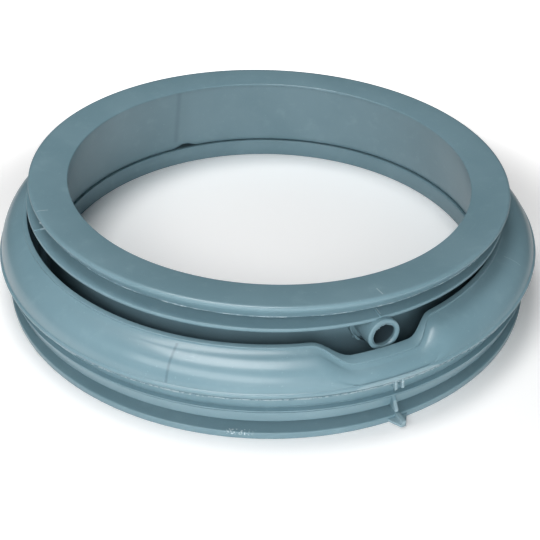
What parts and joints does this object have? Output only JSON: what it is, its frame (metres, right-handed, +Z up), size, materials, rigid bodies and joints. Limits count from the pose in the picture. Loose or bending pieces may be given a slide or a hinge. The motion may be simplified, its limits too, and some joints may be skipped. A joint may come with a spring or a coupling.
{
  "type": "washing machine door seal",
  "caption": "Grey-blue rubber door seal of a front-loading washing machine: dished sealing face, panel groove, folded bellows with a notched crest, hose nozzle and a clip-in base ring.",
  "frame": {"origin": "on the seal's axis, at the underside of the drum-side flange that it stands on", "axes": "+Z up along the seal's axis, from the drum-side flange to the door; -Y towards the hose nozzle, the crest's notch and the alignment pointer; +X to the right of the nozzle seen from outside"},
  "size_m": [0.4068, 0.4122, 0.0887],
  "materials": {
    "rubber_grey": "satin"
  },
  "bodies": {
    "root": {"door_seal": "rubber_grey"}
  },
  "joints": []
}
